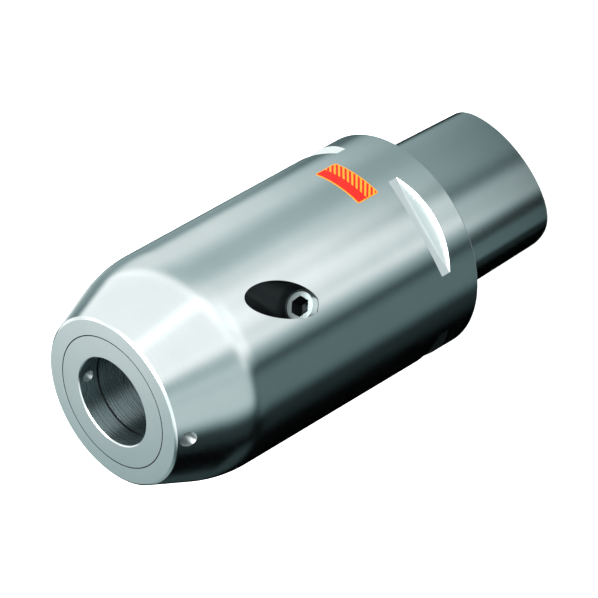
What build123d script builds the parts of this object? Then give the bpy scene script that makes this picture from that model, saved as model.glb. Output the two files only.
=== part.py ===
from build123d import *
import os
from math import asin, cos, degrees, pi, radians, sin, sqrt, tan

# Hydraulic chuck with a size 50 polygon taper shank, in millimetres.
# +Z is the tool axis, towards the nose. The origin is the centre of the flange's
# contact face, and +X runs through the middle of one gripper groove.

# Outside of the body
body_diameter = 50.0
gauge_length = 83.5  # flange contact face to nose face
nose_face_diameter = 38.0
nose_cone_length = 15.2  # nose face to where cone and cylinder would meet
nose_blend_radius = 28.4
edge_chamfer = 0.5

# Gripper grooves, cut straight across the body
groove_count = 4
groove_height = 9.3  # middle of the floor above the flange face
groove_depth = 2.8
groove_floor_width = 2.4
groove_flank_angle = 30.0

# Polygon taper shank, a three-lobed section
shank_diameter = 35.0  # mean, at the flange face
shank_lobe_height = 1.12
shank_length = 30.0
shank_taper = 20.0  # one in twenty, on the diameter
shank_end_chamfer = 0.6
lobe_azimuth = -45.0
section_points = 36

# Inside of the shank, where the spindle's draw bar grips
drawbar_bore_diameter = 21.0
drawbar_groove_diameter = 24.0
drawbar_groove_width = 9.0
drawbar_lip_length = 7.0  # shank end to the groove
drawbar_lead_chamfer = 1.0
drawbolt_bore_diameter = 14.5  # tapping size for M16 by 1.5
drawbolt_thread_length = 13.0
drawbolt_thread_top = 5.0  # above the flange face
coolant_bore_diameter = 6.0

# Tool bore and expansion sleeve
tool_bore_diameter = 20.0
mouth_chamfer = 0.4
sleeve_wall = 2.0
sleeve_collar_diameter = 30.0
sleeve_collar_length = 9.0
joint_chamfer = 0.12  # each side of the joint that shows on the nose face
wiper_groove_depth = 5.2  # below the nose face
wiper_groove_width = 0.5
wiper_groove_cut = 0.3
chamber_cut = 0.4  # oil film space turned into the sleeve
chamber_length = 15.0
front_land = 3.5
middle_land = 4.0
rear_land = 3.3
feed_groove_width = 3.0
flute_count = 4
flute_width = 1.2
braze_gap = 0.02

# Radial cross hole through the nose
cross_hole_depth = 2.55  # below the nose face
cross_hole_diameter = 3.5
cross_hole_sleeve_diameter = 2.7

# Slanted bore of the clamping screw and piston
screw_azimuth = -45.0  # the bore lies in a plane square to this direction
screw_tilt = 39.5  # between the bore and the tool axis
screw_entry_depth = 31.9  # nose face to where the bore's axis leaves the body
screw_mouth_clearance = 0.15
piston_wall = 1.3  # metal between the piston bore and the sleeve's seat

# Clamping screw, ball, piston and seal, in line in the slanted bore
clamping_thread_diameter = 8.0
clamping_screw_length = 8.0
clamping_screw_depth = 7.5  # along the bore, from the surface to the socket face
clamping_screw_chamfer = 0.75
clamping_hex = 4.0
clamping_hex_depth = 4.0
clamping_travel = 4.0
thread_clearance = 0.05
ball_diameter = 4.0
ball_cup_radius = 1.8  # mouth of the right-angled cone that the ball sits in
piston_diameter = 6.6
piston_length = 6.0
piston_clearance = 0.03
spigot_diameter = 3.0
spigot_head_diameter = 4.2
spigot_head_length = 0.6
support_ring_length = 1.0
seal_length = 2.0
seal_lip_depth = 0.9
seal_groove_width = 0.5
oil_port_diameter = 2.0
oil_port_margin = 0.3
seating_gap = 0.02

# Oil filling port with its ball and set screw, opposite the slanted bore
filler_azimuth = 135.0
filler_thread_diameter = 6.0
filler_screw_length = 4.0
filler_screw_sink = 0.6  # below the body's surface
filler_screw_chamfer = 0.6
filler_hex = 3.0
filler_hex_depth = 2.2
filler_ball_diameter = 3.5
filler_port_diameter = 2.0

# Length stop behind the tool bore
stop_thread_diameter = 16.0
stop_bore_length = 12.0
stop_screw_length = 10.0
stop_floor_gap = 0.3
stop_screw_chamfer = 1.0
stop_hex = 6.0
stop_hex_depth = 4.5
stop_coolant_diameter = 4.0
stop_ring_section = 1.3
stop_ring_height = 2.6  # middle of the rubber ring above the screw's lower end

# Radii and heights that follow
body_radius = body_diameter / 2
nose_face_radius = nose_face_diameter / 2
tool_radius = tool_bore_diameter / 2
sleeve_radius = tool_radius + sleeve_wall
seat_radius = sleeve_radius + braze_gap
collar_radius = sleeve_collar_diameter / 2
collar_seat_radius = collar_radius + braze_gap
collar_floor = gauge_length - sleeve_collar_length
cross_hole_height = gauge_length - cross_hole_depth

# Stations along the slanted bore, measured inwards from the body's surface
piston_bore_radius = piston_diameter / 2
screw_end = clamping_screw_depth + clamping_screw_length
ball_station = screw_end + ball_diameter / 2 * sqrt(2) - ball_cup_radius + seating_gap
piston_start = 2 * ball_station - screw_end
piston_shoulder = piston_start + piston_length
seal_start = piston_shoulder + support_ring_length
seal_end = seal_start + seal_length
spigot_end = seal_end + spigot_head_length
mouth_end = clamping_screw_depth + clamping_screw_chamfer
thread_end = screw_end + clamping_travel + clamping_screw_chamfer
port_station = spigot_end + clamping_travel + oil_port_margin + oil_port_diameter / 2
bore_end = port_station + oil_port_diameter / 2 + oil_port_margin

# Place of the slanted bore: it passes the tool axis at screw_offset
screw_offset = seat_radius + piston_wall + piston_bore_radius
screw_swing = degrees(asin(sqrt(1 - (screw_offset / body_radius) ** 2)))
entry_azimuth = radians(screw_azimuth + screw_swing)
entry_point = Vector(
    body_radius * cos(entry_azimuth),
    body_radius * sin(entry_azimuth),
    gauge_length - screw_entry_depth,
)
screw_side = Vector(cos(radians(screw_azimuth)), sin(radians(screw_azimuth)), 0)
screw_run = Vector(sin(radians(screw_azimuth)), -cos(radians(screw_azimuth)), 0)
screw_inward = screw_run * sin(radians(screw_tilt)) - Vector(0, 0, cos(radians(screw_tilt)))
screw_axis = Axis(entry_point, screw_inward)
screw_profile = Plane(origin=entry_point, x_dir=screw_side, z_dir=screw_side.cross(screw_inward))
socket_plane = Plane(
    origin=entry_point + screw_inward * clamping_screw_depth,
    x_dir=screw_side,
    z_dir=screw_inward,
)

# The oil port runs radially from the sleeve's feed groove to the piston bore
port_point = entry_point + screw_inward * port_station
port_reach = sqrt(port_point.X**2 + port_point.Y**2)
port_direction = Vector(port_point.X, port_point.Y, 0).normalized()
port_height = port_point.Z

# Heights of the sleeve's lands and of what lies behind the sleeve
feed_top = port_height + feed_groove_width / 2
feed_bottom = port_height - feed_groove_width / 2
sleeve_end = feed_bottom - rear_land
front_chamber_top = collar_floor - front_land
front_chamber_bottom = front_chamber_top - chamber_length
rear_chamber_top = front_chamber_bottom - middle_land
rear_chamber_bottom = rear_chamber_top - chamber_length
stop_floor = sleeve_end - stop_bore_length
stop_bottom = stop_floor + stop_floor_gap
stop_top = stop_bottom + stop_screw_length
drawbolt_thread_bottom = drawbolt_thread_top - drawbolt_thread_length
groove_mouth = drawbar_lip_length - shank_length
drawbar_flank = (drawbar_groove_diameter - drawbar_bore_diameter) / 2

# Stations of the filling port, measured outwards from the tool axis
filler_height = (rear_chamber_top + rear_chamber_bottom) / 2
filler_direction = Vector(cos(radians(filler_azimuth)), sin(radians(filler_azimuth)), 0)
filler_outer = body_radius - filler_screw_sink
filler_inner = filler_outer - filler_screw_length
filler_ball_radius = filler_ball_diameter / 2
filler_ball_rise = sqrt(filler_ball_radius**2 - (filler_port_diameter / 2) ** 2) + seating_gap
filler_ball_station = filler_inner - filler_ball_radius - seating_gap
filler_floor = filler_ball_station - filler_ball_rise
filler_plane = Plane(
    origin=(0, 0, filler_height),
    x_dir=(0, 0, 1),
    z_dir=filler_direction,
)

os.makedirs("parts", exist_ok=True)


def polygon_section(mean_diameter):
    """Points round the three-lobed shank section of one mean diameter."""
    outline = []
    for step in range(section_points):
        angle = 2 * pi * step / section_points
        x = mean_diameter / 2 * cos(angle)
        x += shank_lobe_height * (cos(4 * angle) - 2 * cos(2 * angle))
        y = mean_diameter / 2 * sin(angle)
        y += shank_lobe_height * (sin(4 * angle) + 2 * sin(2 * angle))
        outline.append(Vector(x, y).rotate(Axis.Z, lobe_azimuth - 60))
    return outline


# Body: turned outline, polygon shank, grooves, then everything bored into it
cone_slope = (body_radius - nose_face_radius) / nose_cone_length
chamfered_face_radius = nose_face_radius - edge_chamfer
chamfered_cone_radius = nose_face_radius + edge_chamfer * cone_slope
with BuildPart() as chuck_body:
    with BuildSketch(Plane.XZ):
        with BuildLine():
            FilletPolyline(
                (chamfered_cone_radius, gauge_length - edge_chamfer),
                (body_radius, gauge_length - nose_cone_length),
                (body_radius, edge_chamfer),
                radius=nose_blend_radius,
            )
            Polyline(
                (body_radius, edge_chamfer),
                (body_radius - edge_chamfer, 0),
                (0, 0),
                (0, gauge_length),
                (chamfered_face_radius, gauge_length),
                (chamfered_cone_radius, gauge_length - edge_chamfer),
            )
        make_face()
    revolve(axis=Axis.Z)

    # Ruled through three sections: flange face, end chamfer, shank end
    end_diameter = shank_diameter - shank_length / shank_taper
    chamfer_diameter = end_diameter + shank_end_chamfer / shank_taper
    for height, mean_diameter in [
        (0, shank_diameter),
        (shank_end_chamfer - shank_length, chamfer_diameter),
        (-shank_length, end_diameter - 2 * shank_end_chamfer),
    ]:
        with BuildSketch(Plane.XY.offset(height)):
            with BuildLine():
                Spline(polygon_section(mean_diameter), periodic=True)
            make_face()
    loft(ruled=True)

    # Gripper grooves with a flat floor and sloping flanks
    groove_floor = body_radius - groove_depth
    groove_rise = 2 * groove_depth
    groove_mouth_width = groove_floor_width + 2 * groove_rise * tan(radians(groove_flank_angle))
    for step in range(groove_count):
        groove_azimuth = 2 * pi * step / groove_count
        groove_direction = (cos(groove_azimuth), sin(groove_azimuth), 0)
        groove_plane = Plane(
            origin=(0, 0, groove_height),
            x_dir=groove_direction,
            z_dir=Vector(groove_direction).cross(Vector(0, 0, 1)),
        )
        with BuildSketch(groove_plane):
            with BuildLine():
                Polyline(
                    (groove_floor, -groove_floor_width / 2),
                    (groove_floor, groove_floor_width / 2),
                    (groove_floor + groove_rise, groove_mouth_width / 2),
                    (groove_floor + groove_rise, -groove_mouth_width / 2),
                    close=True,
                )
            make_face()
        extrude(amount=body_radius, both=True, mode=Mode.SUBTRACT)

    # Draw-bar bore and groove, draw-bolt thread, coolant bore, stop bore, sleeve seat
    with BuildSketch(Plane.XZ):
        with BuildLine():
            Polyline(
                (0, -shank_length),
                (drawbar_bore_diameter / 2 + drawbar_lead_chamfer, -shank_length),
                (drawbar_bore_diameter / 2, drawbar_lead_chamfer - shank_length),
                (drawbar_bore_diameter / 2, groove_mouth),
                (drawbar_groove_diameter / 2, groove_mouth + drawbar_flank),
                (drawbar_groove_diameter / 2, groove_mouth + drawbar_groove_width),
                (drawbar_bore_diameter / 2, groove_mouth + drawbar_groove_width),
                (drawbar_bore_diameter / 2, drawbolt_thread_bottom),
                (drawbolt_bore_diameter / 2, drawbolt_thread_bottom),
                (drawbolt_bore_diameter / 2, drawbolt_thread_top),
                (0, drawbolt_thread_top),
                close=True,
            )
        make_face()
    revolve(axis=Axis.Z, mode=Mode.SUBTRACT)
    with BuildSketch(Plane.XY):
        Circle(coolant_bore_diameter / 2)
    extrude(amount=sleeve_end, mode=Mode.SUBTRACT)
    with BuildSketch(Plane.XZ):
        with BuildLine():
            Polyline(
                (0, stop_floor),
                (stop_thread_diameter / 2, stop_floor),
                (stop_thread_diameter / 2, sleeve_end),
                (seat_radius, sleeve_end),
                (seat_radius, collar_floor),
                (collar_seat_radius, collar_floor),
                (collar_seat_radius, gauge_length - joint_chamfer),
                (collar_seat_radius + joint_chamfer, gauge_length),
                (0, gauge_length),
                close=True,
            )
        make_face()
    revolve(axis=Axis.Z, mode=Mode.SUBTRACT)

    # Slanted bore, open well past the surface so that the mouth is cut clean
    mouth_radius = clamping_thread_diameter / 2 + screw_mouth_clearance
    with BuildSketch(screw_profile):
        with BuildLine():
            Polyline(
                (0, -body_diameter),
                (mouth_radius, -body_diameter),
                (mouth_radius, mouth_end),
                (clamping_thread_diameter / 2, mouth_end + screw_mouth_clearance),
                (clamping_thread_diameter / 2, thread_end),
                (piston_bore_radius, thread_end),
                (piston_bore_radius, bore_end),
                (0, bore_end),
                close=True,
            )
        make_face()
    revolve(axis=screw_axis, mode=Mode.SUBTRACT)
    with BuildSketch(Plane(origin=(0, 0, port_height), x_dir=(0, 0, 1), z_dir=port_direction)):
        Circle(oil_port_diameter / 2)
    extrude(amount=port_reach, mode=Mode.SUBTRACT)

    # Filling port, and the cross hole through both sides of the nose
    with BuildSketch(filler_plane.offset(filler_floor)):
        Circle(filler_thread_diameter / 2)
    extrude(amount=body_radius, mode=Mode.SUBTRACT)
    with BuildSketch(filler_plane):
        Circle(filler_port_diameter / 2)
    extrude(amount=body_radius, mode=Mode.SUBTRACT)
    cross_plane = Plane(origin=(0, 0, cross_hole_height), x_dir=(0, 0, 1), z_dir=screw_side)
    with BuildSketch(cross_plane):
        Circle(cross_hole_diameter / 2)
    extrude(amount=body_radius, both=True, mode=Mode.SUBTRACT)
chuck_body.part.label = "chuck_body"
export_step(chuck_body.part, "parts/chuck_body.step")


# Expansion sleeve: collar, thin wall with two oil chambers, and a feed groove
with BuildPart() as expansion_sleeve:
    with BuildSketch(Plane.XZ):
        with BuildLine():
            Polyline(
                (tool_radius, sleeve_end),
                (sleeve_radius, sleeve_end),
                (sleeve_radius, collar_floor),
                (collar_radius, collar_floor),
                (collar_radius, gauge_length - joint_chamfer),
                (collar_radius - joint_chamfer, gauge_length),
                (tool_radius + mouth_chamfer, gauge_length),
                (tool_radius, gauge_length - mouth_chamfer),
                close=True,
            )
        make_face()
    revolve(axis=Axis.Z)

    with BuildSketch(Plane.XZ):
        for top, bottom in [
            (front_chamber_top, front_chamber_bottom),
            (rear_chamber_top, rear_chamber_bottom),
            (feed_top, feed_bottom),
        ]:
            with Locations((sleeve_radius, (top + bottom) / 2)):
                Rectangle(2 * chamber_cut, top - bottom)
        with Locations((tool_radius, gauge_length - wiper_groove_depth)):
            Rectangle(2 * wiper_groove_cut, wiper_groove_width)
    revolve(axis=Axis.Z, mode=Mode.SUBTRACT)

    # Flutes that carry the oil across the lands, from the feed groove forwards
    with BuildSketch(Plane.XY.offset(port_height)):
        with PolarLocations(sleeve_radius, flute_count):
            Rectangle(2 * chamber_cut, flute_width)
    extrude(amount=front_chamber_bottom - port_height, mode=Mode.SUBTRACT)
    with BuildSketch(cross_plane):
        Circle(cross_hole_sleeve_diameter / 2)
    extrude(amount=collar_radius, both=True, mode=Mode.SUBTRACT)
expansion_sleeve.part.label = "expansion_sleeve"
export_step(expansion_sleeve.part, "parts/expansion_sleeve.step")


# Clamping screw: set screw with a hexagon socket and a conical seat for the ball
with BuildPart() as clamping_screw:
    screw_radius = clamping_thread_diameter / 2 - thread_clearance
    with BuildSketch(screw_profile):
        with BuildLine():
            Polyline(
                (0, clamping_screw_depth),
                (screw_radius - clamping_screw_chamfer, clamping_screw_depth),
                (screw_radius, clamping_screw_depth + clamping_screw_chamfer),
                (screw_radius, screw_end - clamping_screw_chamfer),
                (screw_radius - clamping_screw_chamfer, screw_end),
                (ball_cup_radius, screw_end),
                (0, screw_end - ball_cup_radius),
                close=True,
            )
        make_face()
    revolve(axis=screw_axis)
    with BuildSketch(socket_plane):
        RegularPolygon(clamping_hex / 2, 6, major_radius=False)
    extrude(amount=clamping_hex_depth, mode=Mode.SUBTRACT)
clamping_screw.part.label = "clamping_screw"
export_step(clamping_screw.part, "parts/clamping_screw.step")


# Pressure ball between the turning screw and the piston
with BuildPart() as pressure_ball:
    with Locations(entry_point + screw_inward * ball_station):
        Sphere(ball_diameter / 2)
pressure_ball.part.label = "pressure_ball"
export_step(pressure_ball.part, "parts/pressure_ball.step")


# Clamping piston with a headed spigot that carries the seal
with BuildPart() as clamping_piston:
    piston_radius = piston_bore_radius - piston_clearance
    spigot_radius = spigot_diameter / 2
    with BuildSketch(screw_profile):
        with BuildLine():
            Polyline(
                (0, piston_start + ball_cup_radius),
                (ball_cup_radius, piston_start),
                (piston_radius, piston_start),
                (piston_radius, piston_shoulder),
                (spigot_radius, piston_shoulder),
                (spigot_radius, seal_end + seating_gap),
                (spigot_head_diameter / 2, seal_end + seating_gap),
                (spigot_head_diameter / 2, spigot_end),
                (0, spigot_end),
                close=True,
            )
        make_face()
    revolve(axis=screw_axis)
clamping_piston.part.label = "clamping_piston"
export_step(clamping_piston.part, "parts/clamping_piston.step")


# Hard ring behind the seal
with BuildPart() as seal_support_ring:
    with BuildSketch(screw_profile):
        with BuildLine():
            Polyline(
                (spigot_radius + seating_gap, piston_shoulder),
                (piston_radius, piston_shoulder),
                (piston_radius, seal_start),
                (spigot_radius + seating_gap, seal_start),
                close=True,
            )
        make_face()
    revolve(axis=screw_axis)
seal_support_ring.part.label = "seal_support_ring"
export_step(seal_support_ring.part, "parts/seal_support_ring.step")


# Cup seal, its two lips turned towards the oil
with BuildPart() as piston_seal:
    lip_middle = (spigot_radius + piston_radius) / 2
    with BuildSketch(screw_profile):
        with BuildLine():
            Polyline(
                (spigot_radius + seating_gap, seal_start),
                (piston_radius, seal_start),
                (piston_radius, seal_end),
                (lip_middle + seal_groove_width / 2, seal_end),
                (lip_middle, seal_end - seal_lip_depth),
                (lip_middle - seal_groove_width / 2, seal_end),
                (spigot_radius + seating_gap, seal_end),
                close=True,
            )
        make_face()
    revolve(axis=screw_axis)
piston_seal.part.label = "piston_seal"
export_step(piston_seal.part, "parts/piston_seal.step")


# Ball and set screw that close the filling port
with BuildPart() as filler_ball:
    with Locations(Vector(0, 0, filler_height) + filler_direction * filler_ball_station):
        Sphere(filler_ball_radius)
filler_ball.part.label = "filler_ball"
export_step(filler_ball.part, "parts/filler_ball.step")

with BuildPart() as filler_screw:
    with BuildSketch(filler_plane.offset(filler_inner)):
        Circle(filler_thread_diameter / 2 - thread_clearance)
    extrude(amount=filler_screw_length)
    chamfer(filler_screw.edges().filter_by(GeomType.CIRCLE), filler_screw_chamfer)
    with BuildSketch(filler_plane.offset(filler_outer)):
        RegularPolygon(filler_hex / 2, 6, major_radius=False)
    extrude(amount=-filler_hex_depth, mode=Mode.SUBTRACT)
filler_screw.part.label = "filler_screw"
export_step(filler_screw.part, "parts/filler_screw.step")


# Stop screw: threaded plug with a hexagon socket, coolant hole and ring groove
stop_radius = stop_thread_diameter / 2 - thread_clearance
ring_level = stop_bottom + stop_ring_height
with BuildPart() as stop_screw:
    with BuildSketch(Plane.XY.offset(stop_bottom)):
        Circle(stop_radius)
    extrude(amount=stop_screw_length)
    chamfer(stop_screw.edges().filter_by(GeomType.CIRCLE), stop_screw_chamfer)
    with BuildSketch(Plane.XY.offset(stop_top)):
        RegularPolygon(stop_hex / 2, 6, major_radius=False)
    extrude(amount=-stop_hex_depth, mode=Mode.SUBTRACT)
    with BuildSketch(Plane.XY.offset(stop_bottom)):
        Circle(stop_coolant_diameter / 2)
    extrude(amount=stop_screw_length, mode=Mode.SUBTRACT)
    with BuildSketch(Plane.XZ):
        with Locations((stop_radius, ring_level)):
            Rectangle(2 * stop_ring_section, stop_ring_section + 2 * thread_clearance)
    revolve(axis=Axis.Z, mode=Mode.SUBTRACT)
stop_screw.part.label = "stop_screw"
export_step(stop_screw.part, "parts/stop_screw.step")

# Square-section rubber ring in the stop screw's groove
with BuildPart() as stop_screw_ring:
    with BuildSketch(Plane.XZ):
        with Locations((stop_radius - stop_ring_section / 2 + seating_gap, ring_level)):
            Rectangle(stop_ring_section, stop_ring_section)
    revolve(axis=Axis.Z)
stop_screw_ring.part.label = "stop_screw_ring"
export_step(stop_screw_ring.part, "parts/stop_screw_ring.step")
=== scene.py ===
"""Studio scene of a hydraulic chuck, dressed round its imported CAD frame.

The tool axis is +Z, the origin is the centre of the flange's contact face, and every
mesh is in metres in that frame. Sizes in the classes below are in millimetres.
"""

import logging
import math
from dataclasses import dataclass
from enum import Enum
from typing import Callable, Iterable, Optional, Sequence, Union

import bmesh
import bpy
from mathutils import Matrix, Vector


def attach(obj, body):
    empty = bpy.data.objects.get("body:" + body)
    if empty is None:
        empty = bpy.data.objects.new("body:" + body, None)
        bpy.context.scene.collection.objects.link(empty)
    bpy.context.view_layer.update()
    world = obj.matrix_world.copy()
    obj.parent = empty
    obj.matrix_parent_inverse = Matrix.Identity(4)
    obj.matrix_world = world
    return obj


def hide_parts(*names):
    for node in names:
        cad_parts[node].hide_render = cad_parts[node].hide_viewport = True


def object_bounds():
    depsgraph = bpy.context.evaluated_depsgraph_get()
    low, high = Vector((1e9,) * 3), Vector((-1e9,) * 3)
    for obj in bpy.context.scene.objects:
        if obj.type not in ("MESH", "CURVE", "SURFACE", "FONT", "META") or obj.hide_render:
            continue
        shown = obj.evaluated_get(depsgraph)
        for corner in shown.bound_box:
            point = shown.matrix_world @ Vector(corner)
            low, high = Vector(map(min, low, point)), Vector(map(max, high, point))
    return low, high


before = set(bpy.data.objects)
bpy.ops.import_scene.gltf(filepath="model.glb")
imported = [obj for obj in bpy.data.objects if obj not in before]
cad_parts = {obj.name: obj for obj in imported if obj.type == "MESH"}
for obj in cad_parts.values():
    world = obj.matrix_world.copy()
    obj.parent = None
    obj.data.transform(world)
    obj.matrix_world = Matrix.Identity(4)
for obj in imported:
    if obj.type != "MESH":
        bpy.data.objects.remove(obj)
cad_low, cad_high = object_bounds()

MM = 0.001
MERGE_DISTANCE = 1e-7  # metres
SHARP_ANGLE = math.radians(24)  # a profile's corner beyond this gets its edge broken
CURVED_LIMIT = math.radians(15)  # widest angle between two facets of a curved surface
ROUNDED_LIMIT = math.radians(33)  # the same across the narrow strips of a rounded edge
ROUNDED_WIDTH = 0.15  # millimetres, wider than those strips
Point = tuple[float, float]
Area = tuple[bpy.types.Material, Callable[[Vector], bool]]
Socket = bpy.types.NodeSocket
log = logging.getLogger("hydraulic_chuck")


class Body(Enum):
    """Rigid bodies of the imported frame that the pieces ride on."""

    HOUSING = "housing"
    PISTON_TRAIN = "piston_train"
    CLAMPING_SCREW = "clamping_screw"
    STOP_RING = "stop_ring"
    STOP_SCREW = "stop_screw"


class Lay(Enum):
    """Direction in which a tool left its fine lines on a metal surface."""

    TURNED = "round the tool axis"
    SLANTED = "round the slanted bore"
    ACROSS = "round the filling port"
    DRILLED = "round the cross hole"


# Colours


def linear(hex_colour: str) -> tuple[float, float, float, float]:
    """Turns an sRGB hex value into the linear colour that shaders read.

    Args:
        hex_colour: Six hex digits after a hash, such as "#C0C8C8".

    Returns:
        Red, green, blue and an alpha of 1.
    """
    channels = []
    for start in (1, 3, 5):
        value = int(hex_colour[start:start + 2], 16) / 255
        channels.append(value / 12.92 if value <= 0.04045 else ((value + 0.055) / 1.055) ** 2.4)
    return (channels[0], channels[1], channels[2], 1.0)


# Profiles of turned pieces, as (radius, height) points in millimetres


def arc(centre: Point, radius: float, start: float, end: float, steps: int) -> list[Point]:
    """Points along a circular arc.

    Args:
        centre: Centre of the arc, as radius and height.
        radius: Arc radius.
        start: Angle of the first point in degrees, 0 being outwards.
        end: Angle of the last point.
        steps: Number of chords.

    Returns:
        The points, both ends included.
    """
    points = []
    for step in range(steps + 1):
        angle = math.radians(start + (end - start) * step / steps)
        points.append((centre[0] + radius * math.cos(angle), centre[1] + radius * math.sin(angle)))
    return points


# Meshes


def break_corners(shape: bmesh.types.BMesh, reach: float) -> None:
    """Rounds the sharp corners of a profile drawn as a chain of edges, as deburring does.

    Args:
        shape: Mesh that holds the profile alone.
        reach: Rounding radius in millimetres, cut down where a side is too short for it.
    """
    side_share = 0.35
    corners = []
    for vert in shape.verts:
        on_axis = vert.co.x < MERGE_DISTANCE
        if len(vert.link_edges) != 2 or on_axis:
            continue
        sides = [edge.other_vert(vert).co - vert.co for edge in vert.link_edges]
        turn = math.pi - sides[0].angle(sides[1])
        if turn > SHARP_ANGLE:
            room = side_share * min(sides[0].length, sides[1].length)
            corners.append((vert, min(reach * MM * math.tan(turn / 2), room)))
    for vert, offset in corners:
        bmesh.ops.bevel(
            shape,
            geom=[vert],
            offset=offset,
            offset_type="OFFSET",
            affect="VERTICES",
            segments=3,
            profile=0.5,
            material=-1,
        )


def lathe(
    profile: Sequence[Point],
    segments: int,
    closed: bool = True,
    edge_break: float = 0.0,
) -> bmesh.types.BMesh:
    """Spins a profile round the Z axis.

    Args:
        profile: Points as radius and height in millimetres.
        segments: Number of steps in the full turn.
        closed: Whether the last point joins the first, or both lie on the axis.
        edge_break: Radius that the sharp corners get.

    Returns:
        A closed mesh in metres with its normals outwards.
    """
    shape = bmesh.new()
    verts = [shape.verts.new((radius * MM, 0, height * MM)) for radius, height in profile]
    for pair in zip(verts, verts[1:]):
        shape.edges.new(pair)
    if closed:
        shape.edges.new((verts[-1], verts[0]))
    if edge_break:
        break_corners(shape, edge_break)
    bmesh.ops.spin(
        shape,
        geom=list(shape.verts) + list(shape.edges),
        cent=(0, 0, 0),
        axis=(0, 0, 1),
        angle=math.tau,
        steps=segments,
        use_merge=True,
    )
    bmesh.ops.remove_doubles(shape, verts=shape.verts, dist=MERGE_DISTANCE)
    bmesh.ops.recalc_face_normals(shape, faces=shape.faces)
    return shape


def cylinder(radius: float, low: float, high: float, segments: int = 64) -> bmesh.types.BMesh:
    """A plain cylinder on the Z axis, used for cutting.

    Args:
        radius: Radius in millimetres.
        low: Height of one end.
        high: Height of the other end.
        segments: Number of sides.

    Returns:
        The mesh in metres.
    """
    shape = bmesh.new()
    place = Matrix.Translation((0, 0, (low + high) / 2 * MM))
    bmesh.ops.create_cone(
        shape,
        cap_ends=True,
        segments=segments,
        radius1=radius * MM,
        radius2=radius * MM,
        depth=(high - low) * MM,
        matrix=place,
    )
    return shape


def disc(radius: float, height: float, segments: int, filled: bool = True) -> bmesh.types.BMesh:
    """A flat disc round the Z axis, or its rim alone.

    Args:
        radius: Radius in millimetres.
        height: Height in millimetres.
        segments: Number of sides.
        filled: Whether it has a face.

    Returns:
        The mesh in metres.
    """
    shape = bmesh.new()
    bmesh.ops.create_circle(
        shape,
        cap_ends=filled,
        radius=radius * MM,
        segments=segments,
        matrix=Matrix.Translation((0, 0, height * MM)),
    )
    return shape


def verts_in(result: dict) -> list[bmesh.types.BMVert]:
    """The vertices among what a bmesh operator made."""
    return [item for item in result["geom"] if isinstance(item, bmesh.types.BMVert)]


def hexagon(across_flats: float, low: float, high: float, drill_point: float) -> bmesh.types.BMesh:
    """A hexagon prism on the Z axis with a shallow drilled cone below it.

    Args:
        across_flats: Width across the flats in millimetres.
        low: Height of the socket's floor.
        high: Height past its mouth.
        drill_point: Depth of the cone below the floor.

    Returns:
        The cutting mesh in metres.
    """
    shape = bmesh.new()
    corner = across_flats / math.sqrt(3) * MM
    bmesh.ops.create_circle(
        shape,
        cap_ends=True,
        radius=corner,
        segments=6,
        matrix=Matrix.Translation((0, 0, high * MM)) @ Matrix.Rotation(math.pi / 6, 4, "Z"),
    )
    walls = bmesh.ops.extrude_face_region(shape, geom=list(shape.faces))
    floor = [item for item in walls["geom"] if isinstance(item, bmesh.types.BMFace)]
    bmesh.ops.translate(shape, verts=verts_in(walls), vec=(0, 0, (low - high) * MM))
    tip = bmesh.ops.poke(shape, faces=floor)
    bmesh.ops.translate(shape, verts=tip["verts"], vec=(0, 0, -drill_point * MM))
    bmesh.ops.recalc_face_normals(shape, faces=shape.faces)
    return shape


def cut_thread(
    shape: bmesh.types.BMesh,
    radius: float,
    low: float,
    high: float,
    pitch: float,
    depth: float,
) -> None:
    """Moves the vertices of a turned wall in or out along a right-hand thread.

    Args:
        shape: Mesh on the Z axis, with rings much closer than the pitch.
        radius: Radius of the wall in millimetres.
        low: Height at which the thread begins.
        high: Height at which it ends.
        pitch: Distance between turns.
        depth: How far the wall moves in between the crests, or out if negative.
    """
    runout = 0.6 * pitch
    crest_share = 0.15
    flank_share = 0.7
    for vert in shape.verts:
        height = vert.co.z / MM
        wall = math.hypot(vert.co.x, vert.co.y) / MM
        if not low <= height <= high or abs(wall - radius) > 0.01:
            continue
        turn = height / pitch - math.atan2(vert.co.y, vert.co.x) / math.tau
        flank = abs(2 * (turn % 1) - 1)
        groove = min(max((flank - crest_share) / flank_share, 0), 1)
        fade = min((height - low) / runout, (high - height) / runout, 1)
        moved = wall - depth * groove * fade
        vert.co.x *= moved / wall
        vert.co.y *= moved / wall


def stacked(low: float, high: float, step: float) -> list[float]:
    """Evenly spaced heights from low to high, about one step apart, both ends included."""
    count = max(1, round((high - low) / step))
    return [low + (high - low) * index / count for index in range(count + 1)]


def as_object(
    shape: bmesh.types.BMesh,
    name: str,
    place: Matrix = Matrix.Identity(4),
) -> bpy.types.Object:
    """Turns a bmesh into an object that sits at the origin.

    Args:
        shape: The mesh, which is freed.
        name: Name of the object.
        place: Where the mesh goes; it is applied to the vertices.

    Returns:
        The linked object.
    """
    bmesh.ops.transform(shape, matrix=place, verts=shape.verts)
    mesh = bpy.data.meshes.new(name)
    shape.to_mesh(mesh)
    shape.free()
    piece = bpy.data.objects.new(name, mesh)
    bpy.context.scene.collection.objects.link(piece)
    return piece


def applied(piece: bpy.types.Object) -> None:
    """Replaces a piece's mesh by what its modifiers make of it."""
    bpy.context.view_layer.update()
    evaluated = piece.evaluated_get(bpy.context.evaluated_depsgraph_get())
    mesh = bpy.data.meshes.new_from_object(evaluated)
    piece.modifiers.clear()
    old = piece.data
    piece.data = mesh
    mesh.name = piece.name
    bpy.data.meshes.remove(old)


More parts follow.
